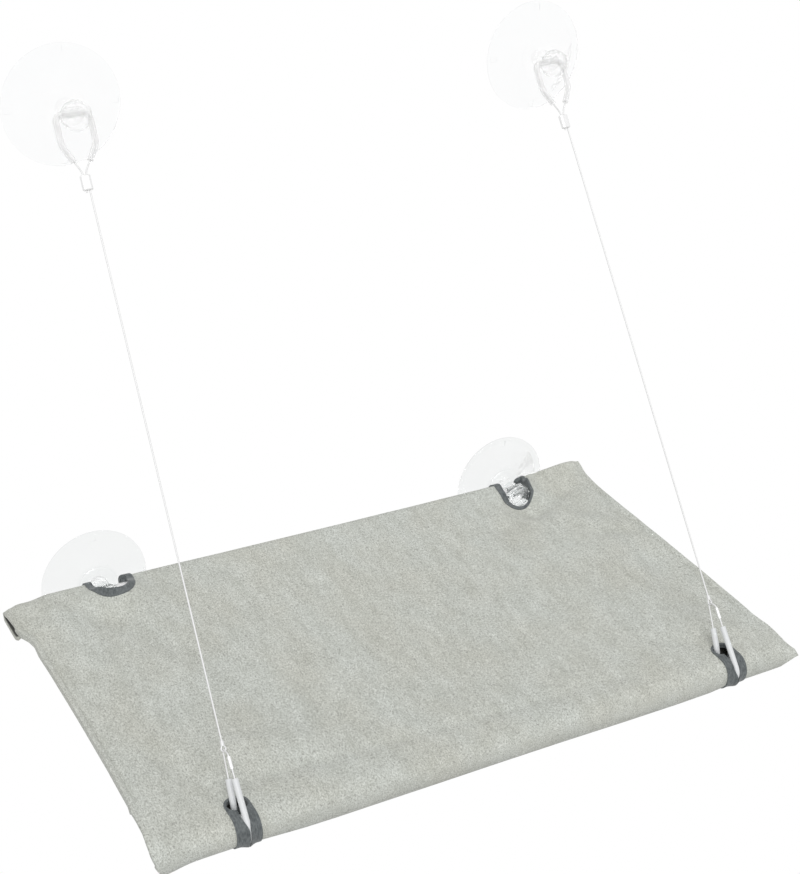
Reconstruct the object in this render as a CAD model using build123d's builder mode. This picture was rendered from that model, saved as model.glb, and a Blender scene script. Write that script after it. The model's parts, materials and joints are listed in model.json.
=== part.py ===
"""A felt cat perch that hangs on a window: two lower suction cups carry the back of a
cloth-covered frame, and two wire tethers hold its front bar from two upper cups.

Millimetres, +Z up. The glass is the plane Y = 0, the room is on its -Y side, and the origin
is on the glass midway between the lower cups.
"""

import os
from math import asin, atan2, cos, hypot, pi, radians, sin, sqrt

from build123d import *

os.makedirs("parts", exist_ok=True)

# Half the width of the felt cover, from which the cups, arms and tethers keep their distances
cover_half_width = 255.0

# Suction cups, all four alike
cup_radius = 41.0
cup_rim_thickness = 1.2
cup_contact_width = 5.0
cup_hollow_depth = 3.0
cup_hollow_share = 0.72
cup_flange_height = 6.8
cup_flange_share = 0.36
collar_radius = 14.0
collar_height = 8.0
collar_edge = 0.7
neck_radius = 7.0
head_radius = 10.0
head_height = 33.0
head_thickness = 8.0
head_edge = 1.6
head_recess_radius = 6.5
head_recess_depth = 0.9
rod_hole_height = 20.0
tab_count = 4
tab_length = 5.0
tab_width = 4.0
tab_height = 2.4
tab_inset = 2.0

# Where the cups sit on the glass, in from the cover's ends
lower_cup_inset = 74.5
upper_cup_inset = 69.5
upper_cup_height = 362.0

# Frame: a bent steel rod through the lower cups, and a front tube across its two arms
rod_radius = 3.5
rod_running_gap = 0.05
rod_bend_radius = 18.0
arm_inset = 17.0
arm_tip_depth = 2.5
bar_distance = 262.5
shelf_slope = 6.0
bar_radius = 8.0
bar_wall = 1.5
bar_inset = 30.0
connector_length = 22.0
connector_edge = 2.5
spigot_length = 22.0
spigot_gap = 0.05
arm_fit_gap = 0.05

# Felt cover: one stretched panel with a sewn pocket along the back and one along the front
felt = 2.4
felt_gap = 0.1
back_slack = 4.5
back_pocket_width = 31.0
front_pocket_width = 44.0
seam_allowance = 6.0
seam_overlap = 0.2
seam_point = 0.3
side_inset = 4.0
hem_width = 7.0
arm_slit_gap = 0.15

# Notches in the cover and the tape that binds their edges
tape = 0.8
back_notch_radius = 10.9
back_notch_centre = 13.0
back_tape_reach = 4.5
front_slot_inset = 60.3
front_slot_shift = 6.0
front_slot_half_gap = 2.45
front_hole_half_width = 7.0
front_hole_half_depth = 5.0
front_hole_setback = 20.0
front_band_half_width = 8.65
front_band_depth = 27.0
front_band_corner = 7.0

# Tethers: a steel wire with an eye at each end, its upper eye lined with clear hose
wire_radius = 0.55
hose_radius = 2.1
hose_bore = 0.8
eye_sag = 1.0
eye_half_width = 11.6
eye_bend_radius = 5.0
eye_knee = 22.0
eye_knee_radius = 14.0
eye_hose_end = 33.0
ferrule_distance = 47.5
ferrule_length = 10.0
ferrule_width = 7.0
ferrule_thickness = 4.0
ferrule_edge = 0.5
ferrule_corner = 1.9
ferrule_bore_spacing = 2.2
ferrule_bore_gap = 0.12
ferrule_lead = 2.0
ferrule_bend_radius = 10.0
tail_length = 1.5

# Lower eye of a tether, linked through the top of the loop round the front bar
link_half_width = 1.5
link_height = 4.4
link_gap = 0.1
link_neck_radius = 0.6
link_collar_radius = 1.25
link_collar_length = 3.2
link_collar_overlap = 0.9

# Loops round the front bar: distances up the tether and forward of it, from the bar's axis
loop_wire_radius = 0.5
loop_height = 49.6
loop_tip_radius = 1.6
loop_shoulder_forward = 5.8
loop_shoulder_height = 46.6
loop_shoulder_radius = 2.0
loop_bar_gap = 0.1
loop_straight = 0.1
loop_corners = 3
loop_rear_rise = 10.5
loop_rear_radius = 12.0
loop_end_gap = 0.2
loop_rear_shift_left = 2.0
loop_rear_shift_right = 4.0
loop_hose_top = 31.0
crimp_radius = 1.2
crimp_bore_gap = 0.1
crimp_length = 8.0
crimp_middle = 41.2

# How far cutters reach past the faces they cut
overrun = 5.0
cutter_height_share = 4.0

# Places across the shelf, from its middle
lower_cup_offset = cover_half_width - lower_cup_inset
upper_cup_offset = cover_half_width - upper_cup_inset
arm_offset = cover_half_width - arm_inset
bar_end = cover_half_width - bar_inset
front_slot_offset = cover_half_width - front_slot_inset

# Directions of the shelf: out from the glass down its slope, and square up from it
slope = radians(shelf_slope)
out_dir = Vector(0, -cos(slope), -sin(slope))
up_dir = Vector(0, -sin(slope), cos(slope))
rod_centre = Vector(0, -rod_hole_height, 0)
bar_centre = rod_centre + out_dir * bar_distance
# On the section plane x runs out along the shelf and y is up; on the top plane x runs across
# the shelf and y runs back towards the glass
section_plane = Plane(origin=rod_centre, x_dir=out_dir, z_dir=(-1, 0, 0))
top_plane = Plane(origin=rod_centre, x_dir=(1, 0, 0), z_dir=up_dir)


def save(part, name):
    """Labels a finished piece and writes it under its node's name."""
    part.label = name
    export_step(part, f"parts/{name}.step")


def report_wire(name, solid, radius, path, bends):
    """Prints a wire's bend radii, and its volume against section times length."""
    along = pi * radius**2 * path.length
    print(f"{name}: bends {bends}, volume {solid.volume:.1f}, section x length {along:.1f}")


def suction_cup(x, z, name):
    """A clear cup: a thin dished flange, a collar, a drilled neck and a mushroom head."""
    profile_plane = Plane(origin=(x, 0, z), x_dir=(1, 0, 0), z_dir=(0, 0, 1))
    glass_plane = Plane(origin=(x, 0, z), x_dir=(1, 0, 0), z_dir=(0, -1, 0))
    hollow_radius = cup_radius - cup_contact_width
    flange_mid = (cup_radius + collar_radius) / 2
    flange_rise = cup_flange_height - cup_rim_thickness
    head_base = head_height - head_thickness
    recess_base = head_height - head_recess_depth
    with BuildPart() as cup:
        with BuildSketch(profile_plane):
            with BuildLine():
                ThreePointArc(
                    (0, -cup_hollow_depth),
                    (hollow_radius / 2, -cup_hollow_depth * cup_hollow_share),
                    (hollow_radius, 0),
                )
                Line((hollow_radius, 0), (cup_radius, 0))
                Line((cup_radius, 0), (cup_radius, -cup_rim_thickness))
                ThreePointArc(
                    (cup_radius, -cup_rim_thickness),
                    (flange_mid, -cup_rim_thickness - flange_rise * cup_flange_share),
                    (collar_radius, -cup_flange_height),
                )
                Polyline(
                    (collar_radius, -cup_flange_height),
                    (collar_radius, collar_edge - collar_height),
                    (collar_radius - collar_edge, -collar_height),
                    (neck_radius, -collar_height),
                    (neck_radius, -head_base),
                    (head_radius - head_edge, -head_base),
                    (head_radius, -head_base - head_edge),
                    (head_radius, head_edge - head_height),
                    (head_radius - head_edge, -head_height),
                    (head_recess_radius, -head_height),
                    (head_recess_radius, -recess_base),
                    (0, -recess_base),
                    (0, -cup_hollow_depth),
                )
            make_face()
        revolve(axis=Axis((x, 0, z), (0, -1, 0)))
        with BuildSketch(glass_plane.offset(cup_rim_thickness / 2)):
            with PolarLocations(cup_radius - tab_inset - tab_length / 2, tab_count):
                Rectangle(tab_length, tab_width)
        extrude(amount=tab_height - cup_rim_thickness / 2)
        with BuildSketch(Plane(origin=(x, -rod_hole_height, z), x_dir=(0, 1, 0), z_dir=(1, 0, 0))):
            Circle(rod_radius + rod_running_gap)
        extrude(amount=neck_radius + overrun, both=True, mode=Mode.SUBTRACT)
    save(cup.part, name)


def bent_rod(radius, name=None):
    """A round bar of the given radius along the frame rod's centre line."""
    tip = bar_distance + arm_tip_depth
    with BuildPart() as bar:
        with BuildLine(top_plane) as path:
            FilletPolyline(
                (-arm_offset, -tip),
                (-arm_offset, 0),
                (arm_offset, 0),
                (arm_offset, -tip),
                radius=rod_bend_radius,
            )
        with BuildSketch(Plane(origin=path.wire() @ 0, z_dir=path.wire() % 0)):
            Circle(radius)
        sweep(path=path.wire())
    if name:
        report_wire(name, bar.part, radius, path.wire(), rod_bend_radius)
    return bar.part


def bar_section(x):
    """Plane square across the front bar, at x."""
    return Plane(origin=bar_centre + Vector(x, 0, 0), x_dir=out_dir, z_dir=(-1, 0, 0))


def front_tube():
    """The straight tube inside the front pocket."""
    with BuildPart() as tube:
        with BuildSketch(bar_section(0)):
            Circle(bar_radius)
            Circle(bar_radius - bar_wall, mode=Mode.SUBTRACT)
        extrude(amount=bar_end, both=True)
    save(tube.part, "front_tube")


def corner_connector(side, name):
    """A plug in the front tube's end, with a cross socket for the rod's arm."""
    socket_end = bar_distance + arm_tip_depth + arm_fit_gap
    with BuildPart() as plug:
        with BuildSketch(bar_section(side * bar_end)):
            Circle(bar_radius)
        extrude(amount=-side * connector_length)
        outer = plug.faces().sort_by(Axis.X)[-1 if side > 0 else 0]
        fillet(outer.edges(), connector_edge)
        with BuildSketch(bar_section(side * bar_end)):
            Circle(bar_radius - bar_wall - spigot_gap)
        extrude(amount=side * spigot_length)
        socket = rod_centre + Vector(side * arm_offset, 0, 0) + out_dir * socket_end
        with BuildSketch(Plane(origin=socket, x_dir=(1, 0, 0), z_dir=out_dir)):
            Circle(rod_radius + arm_fit_gap)
        extrude(amount=-(bar_radius + arm_tip_depth + overrun), mode=Mode.SUBTRACT)
    save(plug.part, name)


def belt(rounds):
    """Outline of a belt round circles (centre, radius) that are listed anticlockwise."""
    normals = []
    for (a, ra), (b, rb) in zip(rounds, rounds[1:] + rounds[:1]):
        run = (b[0] - a[0], b[1] - a[1])
        normals.append(atan2(run[1], run[0]) - pi / 2 + asin((ra - rb) / hypot(*run)))
    for i, (centre, radius) in enumerate(rounds):
        start = normals[i - 1]
        turn = (normals[i] - start) % (2 * pi)
        end = start + turn
        points = [
            (centre[0] + radius * cos(at), centre[1] + radius * sin(at))
            for at in (start, start + turn / 2, end)
        ]
        ThreePointArc(*points)
        after, after_radius = rounds[(i + 1) % len(rounds)]
        Line(points[2], (after[0] + after_radius * cos(end), after[1] + after_radius * sin(end)))


# The cover's section: its sheet runs straight between the rounds of the two pockets
back_inner = rod_radius + felt_gap
back_outer = back_inner + felt
front_inner = bar_radius + felt_gap
front_outer = front_inner + felt
sheet_sin = (front_outer - back_outer) / (bar_distance + back_slack)
sheet_cos = sqrt(1 - sheet_sin**2)
back_edge = -back_slack - back_outer
front_edge = bar_distance + front_outer
back_seam = back_edge + back_pocket_width
front_seam = front_edge - front_pocket_width


def sheet_point(out, depth):
    """Point of the section at a distance out from the rod, and a depth below the sheet's top."""
    return (out, (back_outer - depth + (out + back_slack) * sheet_sin) / sheet_cos)


def sheet_touch(round_out, radius):
    """Point where the sheet's line leaves a pocket round."""
    return (round_out - radius * sheet_sin, radius * sheet_cos)


def cover_solid(skin):
    """The sewn cover, with a skin added to all its outer faces."""
    thick = felt / 2 + skin
    seam_depth = felt + felt / 2 - seam_overlap
    back_seam_round = (sheet_point(back_seam - felt / 2, seam_depth), thick)
    front_seam_round = (sheet_point(front_seam + felt / 2, seam_depth), thick)
    back_void_end = (sheet_point(back_seam - seam_allowance, felt + seam_point), seam_point)
    front_void_end = (sheet_point(front_seam + seam_allowance, felt + seam_point), seam_point)
    back_round = (-back_slack, 0)
    front_round = (bar_distance, 0)
    with BuildPart() as body:
        with BuildSketch(section_plane):
            with BuildLine():
                belt([back_seam_round, (back_round, back_outer + skin), ((0, 0), back_outer + skin)])
            make_face()
        extrude(amount=cover_half_width, both=True)
        with BuildSketch(section_plane):
            with BuildLine():
                belt([(front_round, front_outer + skin), front_seam_round])
            make_face()
        extrude(amount=cover_half_width, both=True)
        with BuildSketch(section_plane):
            with BuildLine():
                Polyline(
                    sheet_touch(-back_slack, back_outer + skin),
                    sheet_touch(bar_distance, front_outer + skin),
                    sheet_touch(bar_distance, front_inner - skin),
                    sheet_touch(-back_slack, back_inner - skin),
                    close=True,
                )
            make_face()
        extrude(amount=cover_half_width, both=True)
        with BuildSketch(section_plane):
            with BuildLine():
                belt([back_void_end, (back_round, back_inner), ((0, 0), back_inner)])
            make_face()
            with BuildLine():
                belt([(front_round, front_inner), front_void_end])
            make_face()
        extrude(amount=cover_half_width + overrun, both=True, mode=Mode.SUBTRACT)
    return body.part


prism_height = cutter_height_share * front_outer


def back_notch(x, growth):
    """Prism of a back notch's outline, grown by a growth."""
    radius = back_notch_radius + growth
    end = back_edge - overrun
    with BuildPart() as prism:
        with BuildSketch(top_plane):
            with Locations((x, -back_notch_centre)):
                Circle(radius)
            with Locations((x, -(back_notch_centre + end) / 2)):
                Rectangle(2 * radius, back_notch_centre - end)
        extrude(amount=prism_height, both=True)
    return prism.part


def front_slot(x, growth):
    """Prism of a front slot's outline, a wide hole with a narrow way out, grown by a growth."""
    hole = front_edge - front_hole_setback
    end = front_edge + overrun
    with BuildPart() as prism:
        with BuildSketch(top_plane):
            with Locations((x, -hole)):
                SlotOverall(2 * (front_hole_half_width + growth), 2 * (front_hole_half_depth + growth))
            with Locations((x, -(hole + end) / 2)):
                Rectangle(2 * (front_slot_half_gap + growth), end - hole)
        extrude(amount=prism_height, both=True)
    return prism.part


def front_band(x):
    """Prism of the outer outline of the tape round a front slot."""
    start = front_edge - front_band_depth
    end = front_edge + overrun + front_band_corner
    with BuildPart() as prism:
        with BuildSketch(top_plane):
            with Locations((x, -(start + end) / 2)):
                RectangleRounded(2 * front_band_half_width, end - start, front_band_corner)
        extrude(amount=prism_height, both=True)
    return prism.part


back_notches = {"left": -lower_cup_offset, "right": lower_cup_offset}
front_slots = {
    "left": front_slot_shift - front_slot_offset,
    "right": front_slot_shift + front_slot_offset,
}
arm_clearance = bent_rod(rod_radius + arm_slit_gap)


def felt_cover():
    """The cover with its hems, cut for the cups' heads, the tether loops and the rod's arms."""
    panel_edge = cover_half_width - side_inset
    hem_start = panel_edge - hem_width
    with BuildPart() as cover:
        add(cover_solid(0))
        for side in (-1, 1):
            with BuildSketch(section_plane.offset(-side * panel_edge)):
                with BuildLine():
                    Polyline(
                        sheet_point(back_seam, -overrun),
                        sheet_point(front_seam, -overrun),
                        sheet_point(front_seam, felt + overrun),
                        sheet_point(back_seam, felt + overrun),
                        close=True,
                    )
                make_face()
            extrude(amount=-side * (side_inset + overrun), mode=Mode.SUBTRACT)
            with BuildSketch(section_plane.offset(-side * hem_start)):
                with BuildLine():
                    Polyline(
                        sheet_point(back_seam - felt / 2, felt / 2),
                        sheet_point(front_seam + felt / 2, felt / 2),
                        sheet_point(front_seam + felt / 2, 2 * felt),
                        sheet_point(back_seam - felt / 2, 2 * felt),
                        close=True,
                    )
                make_face()
            extrude(amount=-side * hem_width)
        for x in back_notches.values():
            add(back_notch(x, tape), mode=Mode.SUBTRACT)
        for x in front_slots.values():
            add(front_slot(x, tape), mode=Mode.SUBTRACT)
        add(arm_clearance, mode=Mode.SUBTRACT)
    save(cover.part, "felt_cover")
    return cover.part


def binding(outer, cut, name):
    """Tape folded round the cut edges of a notch: outside faces and the felt's edge."""
    with BuildPart() as band:
        add(cover_solid(tape))
        add(outer, mode=Mode.INTERSECT)
        add(cut, mode=Mode.SUBTRACT)
        add(cover, mode=Mode.SUBTRACT)
        add(arm_clearance, mode=Mode.SUBTRACT)
    save(band.part, name)


for label, x in (("left", -lower_cup_offset), ("right", lower_cup_offset)):
    suction_cup(x, 0, f"lower_cup_{label}")
for label, x in (("left", -upper_cup_offset), ("right", upper_cup_offset)):
    suction_cup(x, upper_cup_height, f"upper_cup_{label}")
save(bent_rod(rod_radius, "frame_rod"), "frame_rod")
front_tube()
corner_connector(-1, "connector_left")
corner_connector(1, "connector_right")
cover = felt_cover()
for label, x in back_notches.items():
    binding(back_notch(x, back_tape_reach), back_notch(x, 0), f"back_binding_{label}")
for label, x in front_slots.items():
    binding(front_band(x), front_slot(x, 0), f"front_binding_{label}")


def tangent_normal(start, start_radius, end, end_radius):
    """Angle of the outward normal of the line that keeps two rounds on its right."""
    run = (end[0] - start[0], end[1] - start[1])
    return atan2(run[1], run[0]) + pi / 2 - asin((start_radius - end_radius) / hypot(*run))


def round_corner(centre, radius, before, after):
    """Corner between two lines that touch a round where their normals point."""
    reach = radius / cos((after - before) / 2)
    middle = (after + before) / 2
    return (centre[0] + reach * cos(middle), centre[1] + reach * sin(middle))


def swept(path, radius, bore=0):
    """A round wire or hose along a path."""
    with BuildPart() as length:
        with BuildSketch(Plane(origin=path @ 0, z_dir=path % 0)):
            Circle(radius)
            if bore:
                Circle(bore, mode=Mode.SUBTRACT)
        sweep(path=path)
    return length.part


def tether_wire(hub_plane, link_end, label):
    """The wire: a tail, the upper eye, the span down the tether, and the lower eye."""
    eye_bends = [eye_knee_radius, eye_bend_radius, eye_bend_radius, eye_knee_radius]
    bends = [ferrule_bend_radius] + eye_bends + [ferrule_bend_radius]
    link_start = link_end - link_height
    with BuildLine(hub_plane) as path:
        FilletPolyline(
            (-ferrule_bore_spacing, tail_end),
            (-ferrule_bore_spacing, eye_start),
            (-eye_half_width, eye_knee),
            (-eye_half_width, eye_sag),
            (eye_half_width, eye_sag),
            (eye_half_width, eye_knee),
            (0, eye_start),
            (0, link_start),
            radius=bends,
        )
    span = swept(path.wire(), wire_radius)
    report_wire(f"tether_wire_{label}", span, wire_radius, path.wire(), bends)
    with BuildLine(hub_plane) as link:
        belt([
            ((0, link_end - link_half_width), link_half_width),
            ((0, link_start + link_neck_radius), link_neck_radius),
        ])
    eye = swept(link.wire(), wire_radius)
    report_wire(f"its lower eye {label}", eye, wire_radius, link.wire(), [link_half_width, link_neck_radius])
    with BuildPart() as wire:
        add(span)
        add(eye)
        collar_at = hub_plane.from_local_coords(Vector(0, link_start + link_collar_overlap, 0))
        with BuildSketch(Plane(origin=collar_at, z_dir=-hub_plane.y_dir)):
            Circle(link_collar_radius)
        extrude(amount=link_collar_length)
    save(wire.part, f"tether_wire_{label}")


def upper_hose(hub_plane, label):
    """The clear hose over the upper eye, where it runs through the cup's neck."""
    share = (eye_hose_end - eye_knee) / (eye_start - eye_knee)
    left = -eye_half_width + (eye_half_width - ferrule_bore_spacing) * share
    right = eye_half_width - eye_half_width * share
    with BuildLine(hub_plane) as path:
        FilletPolyline(
            (left, eye_hose_end),
            (-eye_half_width, eye_knee),
            (-eye_half_width, eye_sag),
            (eye_half_width, eye_sag),
            (eye_half_width, eye_knee),
            (right, eye_hose_end),
            radius=[eye_knee_radius, eye_bend_radius, eye_bend_radius, eye_knee_radius],
        )
    save(swept(path.wire(), hose_radius, hose_bore), f"upper_hose_{label}")


def ferrule(hub_plane, label):
    """The pressed sleeve that closes the upper eye on two runs of the wire."""
    top = hub_plane.from_local_coords(Vector(0, ferrule_distance - ferrule_length / 2, 0))
    with BuildPart() as sleeve:
        with BuildSketch(Plane(origin=top, x_dir=hub_plane.x_dir, z_dir=hub_plane.y_dir)):
            with Locations((-ferrule_bore_spacing / 2, 0)):
                RectangleRounded(ferrule_width, ferrule_thickness, ferrule_corner)
        extrude(amount=ferrule_length)
        ends = sleeve.faces().filter_by(Plane(origin=top, z_dir=hub_plane.y_dir))
        chamfer(ends.edges(), ferrule_edge)
        with BuildSketch(Plane(origin=top, x_dir=hub_plane.x_dir, z_dir=hub_plane.y_dir)):
            with Locations((0, 0), (-ferrule_bore_spacing, 0)):
                Circle(wire_radius + ferrule_bore_gap)
        extrude(amount=ferrule_length, mode=Mode.SUBTRACT)
    save(sleeve.part, f"ferrule_{label}")


def between(start, end, height):
    """Point at a height on the line between two points (forward, height, aside)."""
    share = (height - start[1]) / (end[1] - start[1])
    return tuple(a + (b - a) * share for a, b in zip(start, end))


def bar_loop(bar, rise, rear_shift, label):
    """The loop of wire round the front bar, closed in a crimp, with its hose."""
    bar_plane = Plane(origin=bar, x_dir=out_dir, z_dir=(-1, 0, 0))
    lean = atan2(-rise.dot(out_dir), rise.dot(up_dir))
    bar_reach = bar_radius + hose_radius + loop_bar_gap
    bar_bend = bar_reach - loop_straight

    def placed(point):
        """A point (forward of the tether, height up it, aside) in space."""
        forward, height, aside = point
        out = forward * cos(lean) - height * sin(lean)
        up = forward * sin(lean) + height * cos(lean)
        return bar_plane.from_local_coords(Vector(out, up, aside))

    shoulder = (loop_shoulder_forward, loop_shoulder_height, 0)
    rear = (
        loop_rear_rise * sin(lean) - bar_reach * cos(lean),
        loop_rear_rise * cos(lean) + bar_reach * sin(lean),
        rear_shift,
    )
    tip_centre = (0, loop_height - loop_tip_radius)
    tip_before = tangent_normal(rear, 0, tip_centre, loop_tip_radius)
    tip_after = tangent_normal(tip_centre, loop_tip_radius, shoulder, 0)
    tip = (*round_corner(tip_centre, loop_tip_radius, tip_before, tip_after), 0)
    front_normal = tangent_normal(shoulder, 0, (0, 0), bar_reach)
    touch = (bar_reach * cos(front_normal), bar_reach * sin(front_normal), 0)
    turn = (front_normal + pi + lean) / loop_corners
    corners = [
        (*round_corner((0, 0), bar_reach, front_normal - turn * i, front_normal - turn * (i + 1)), 0)
        for i in range(loop_corners)
    ]
    round_bar = [placed(corner) for corner in corners] + [placed(rear)]
    round_bends = [bar_bend] * loop_corners + [loop_rear_radius]

    with BuildLine() as path:
        FilletPolyline(
            placed(between(shoulder, touch, crimp_middle - loop_end_gap / 2)),
            *round_bar,
            placed(tip),
            placed(shoulder),
            placed(between(shoulder, touch, crimp_middle + loop_end_gap / 2)),
            radius=round_bends + [loop_tip_radius, loop_shoulder_radius],
        )
    loop = swept(path.wire(), loop_wire_radius)
    bends = round_bends + [loop_tip_radius, loop_shoulder_radius]
    report_wire(f"bar_loop_{label}", loop, loop_wire_radius, path.wire(), bends)
    save(loop, f"bar_loop_{label}")

    with BuildLine() as hose_path:
        FilletPolyline(
            placed(between(shoulder, touch, loop_hose_top)),
            *round_bar,
            placed(between(rear, tip, loop_hose_top)),
            radius=round_bends,
        )
    save(swept(hose_path.wire(), hose_radius, hose_bore), f"lower_hose_{label}")

    with BuildPart() as crimp:
        centre = placed(between(shoulder, touch, crimp_middle))
        with BuildSketch(Plane(origin=centre, z_dir=placed(touch) - placed(shoulder))):
            Circle(crimp_radius)
            Circle(loop_wire_radius + crimp_bore_gap, mode=Mode.SUBTRACT)
        extrude(amount=crimp_length / 2, both=True)
    save(crimp.part, f"crimp_{label}")


eye_start = ferrule_distance - ferrule_length / 2 - ferrule_lead
tail_end = ferrule_distance + ferrule_length / 2 + tail_length
for label, hub_x, rear_shift in (
    ("left", -upper_cup_offset, loop_rear_shift_left),
    ("right", upper_cup_offset, loop_rear_shift_right),
):
    hub = Vector(hub_x, -rod_hole_height, upper_cup_height)
    bar = bar_centre + Vector(front_slots[label], 0, 0)
    rise = Vector(0, hub.Y - bar.Y, hub.Z - bar.Z).normalized()
    knot = bar + rise * loop_height
    down = (knot - hub).normalized()
    across = (Vector(1, 0, 0) - down * down.X).normalized()
    hub_plane = Plane(origin=hub, x_dir=across, z_dir=across.cross(down))
    link_end = (knot - hub).length + loop_wire_radius + link_gap + wire_radius
    tether_wire(hub_plane, link_end, label)
    upper_hose(hub_plane, label)
    ferrule(hub_plane, label)
    bar_loop(bar, rise, rear_shift, label)
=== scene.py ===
import json
from math import asin, atan2, cos, hypot, pi, radians, sin, sqrt

import bmesh
import bpy
import numpy as np
from mathutils import Matrix, Vector


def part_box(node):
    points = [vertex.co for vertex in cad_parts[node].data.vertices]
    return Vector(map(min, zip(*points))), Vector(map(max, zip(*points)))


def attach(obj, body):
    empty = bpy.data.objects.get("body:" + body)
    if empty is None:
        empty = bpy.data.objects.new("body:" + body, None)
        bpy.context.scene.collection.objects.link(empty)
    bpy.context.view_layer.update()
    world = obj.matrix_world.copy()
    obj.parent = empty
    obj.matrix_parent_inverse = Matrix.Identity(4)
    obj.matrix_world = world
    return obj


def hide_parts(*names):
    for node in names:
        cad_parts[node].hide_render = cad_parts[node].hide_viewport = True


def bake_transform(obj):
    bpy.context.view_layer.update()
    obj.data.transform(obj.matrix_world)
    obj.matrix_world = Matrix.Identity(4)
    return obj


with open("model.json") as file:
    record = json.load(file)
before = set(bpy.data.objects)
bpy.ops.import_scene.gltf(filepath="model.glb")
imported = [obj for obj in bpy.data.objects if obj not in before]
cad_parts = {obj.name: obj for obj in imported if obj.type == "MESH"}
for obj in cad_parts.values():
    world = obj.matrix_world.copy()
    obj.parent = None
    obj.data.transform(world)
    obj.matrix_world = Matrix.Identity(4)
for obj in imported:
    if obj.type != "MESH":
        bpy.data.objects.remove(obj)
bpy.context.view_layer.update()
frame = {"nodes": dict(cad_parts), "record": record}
nodes = frame["nodes"]
scene = bpy.context.scene

MM = 0.001
SIDES = ("left", "right")
MERGE_WITHIN, CUT_WITHIN, SHARP_EDGE = 1e-6, 1e-7, radians(38)

# Camera, fitted to the photograph, in mm and pixels, and its near end in m
CAMERA_AT = (-536.9, -1045.9, 654.8)
AZIMUTH, ELEVATION, ROLL = radians(-30.59), radians(25.97), radians(2.08)
FOCAL_PIXELS, IMAGE_HEIGHT, SENSOR_WIDTH, NEAREST = 1678.3, 874, 36, 0.01

# A wide lamp from above and before the shelf; the white surroundings, as they light the shelf
# and as they are seen
LAMP_FROM, LAMP_STRENGTH, LAMP_WIDTH = (-0.3, -0.75, 0.85), 1.52, radians(40)
WHITE, SOFT_STRENGTH, SEEN_STRENGTH = (1, 1, 1), 0.64, 1.0

# Shelf, in mm: distances are out from the rod, and up is square to the shelf. The cloth's inner
# face runs round the rod's fold and the bar with these radii
ROD_AT = Vector((0, -20.0, 0))
SLOPE = radians(6.0)
OUT = Vector((0, -cos(SLOPE), -sin(SLOPE)))
UP = Vector((0, -sin(SLOPE), cos(SLOPE)))
FELT = 2.4
TAPE = 0.8
BACK_ROUND, BACK_INNER = -4.5, 3.6
BAR, BAR_INNER = 262.5, 8.1
HALF_WIDTH = 255.0
BACK_SEAM, FRONT_SEAM, SEAM_END = 20.5, 228.9, 6
LEAN = (BAR_INNER - BACK_INNER) / (BAR - BACK_ROUND)

# Back notches: place along the shelf, radius, centre out from the rod, reach of the tape, its shift
NOTCHES = {"left": (-176.5, 11.5, 7.5, 5.2, 0), "right": (178.8, 10.4, 13.0, 3.5, -1.5)}
NOTCH_POINTS = 25

# Front slots: a hole on top, a narrow way round the fold and a hole underneath, with their tape
SLOT_X = {"left": -188.7, "right": 200.7}
SLOT_HALF_GAP, HOLE_HALF_WIDTH, HOLE_HALF_DEPTH, HOLE_AT = 2.45, 7.0, 5.0, 253.0
BAND_HALF_WIDTH, BAND_START, BAND_CORNER = 8.65, 246.0, 7.0
SLOT_POINTS, CORNER_POINTS, POINTS_APART = 13, 6, 1e-4

# Slits where the rod's arms pass through the pockets' under layers: place along the shelf and
# distance out; the back one starts before the cloth's end
ARM_INNER, ARM_OUTER, BEFORE_CLOTH = 234.2, 241.8, -2
BACK_SLIT = ((ARM_INNER, 17), (230, 8), (223, 2), (ARM_OUTER, 0))
FRONT_SLIT = ((ARM_INNER, 254), (ARM_OUTER, 254), (ARM_OUTER, 232), (ARM_INNER, 232))

# Cells of the flat cloth's grid, the side hems, and the lines along them, from the cloth's ends
FELT_CELL, TAPE_CELL = 3.4, 1.0
HEM_HALF_WIDTH, HEM_GAP, HEM_START, HEM_END = 3.5, 0.03, 21, 229
HEM_LINES = (1, 2.2, 3.4, 4.4, 5.0, 5.6, 6.2, 6.8, 7.8, 9.2)
# Tape: the strip's spare at its ends and sides, and its lap under the felt
STRIP_SPARE, NOTCH_STRIP_SPARE, TAPE_LAP = 1, 3, 0.02
# Cutters: from below to above the cloth; the felt's own space inside a tape, and its spare round
# the tape; and the hole in that space
CUTTER_BOTTOM, CUTTER_TOP = -6.0, 9.0
FELT_SPACE_BOTTOM, NOTCH_FELT_SPARE, SLOT_FELT_SPARE = -3.0, 4, 2
HOLE_BOTTOM, HOLE_TOP = -7.0, 10.0

# Pieces into which a tether wire is cut across along its length
WIRE_PARTS = 40


def smooth(value, start, end):
    """0 before start, 1 after end, easing between."""
    share = np.clip((value - start) / (end - start), 0, 1)
    return share * share * (3 - 2 * share)


def between(value, rising=None, falling=None):
    """1 between the two ramps and 0 beyond them; a ramp that is left out is no limit."""
    share = 1.0 if rising is None else smooth(value, *rising)
    return share if falling is None else share * (1 - smooth(value, *falling))


def bump_at(value, centre, width):
    """1 at the centre, falling off on both sides within about the width."""
    return np.exp(-(((value - centre) / width) ** 2))


def link(name, data):
    """Puts new data into the scene as an object."""
    piece = bpy.data.objects.new(name, data)
    scene.collection.objects.link(piece)
    return piece


# ---- materials -------------------------------------------------------------


def feed(tree, socket, value):
    """Links a socket to another one, or sets its value."""
    if isinstance(value, bpy.types.NodeSocket):
        tree.links.new(value, socket)
    elif socket.type == "RGBA":
        socket.default_value = (*value, 1)
    else:
        socket.default_value = value


def feed_all(tree, node, values):
    for label, value in values.items():
        feed(tree, node.inputs[label], value)


def add(tree, kind, **settings):
    """A new node; a setting is the name of one of its inputs or else of a property."""
    node = tree.nodes.new(kind)
    for key, value in settings.items():
        if key in node.inputs:
            feed(tree, node.inputs[key], value)
        else:
            setattr(node, key, value)
    return node


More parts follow.
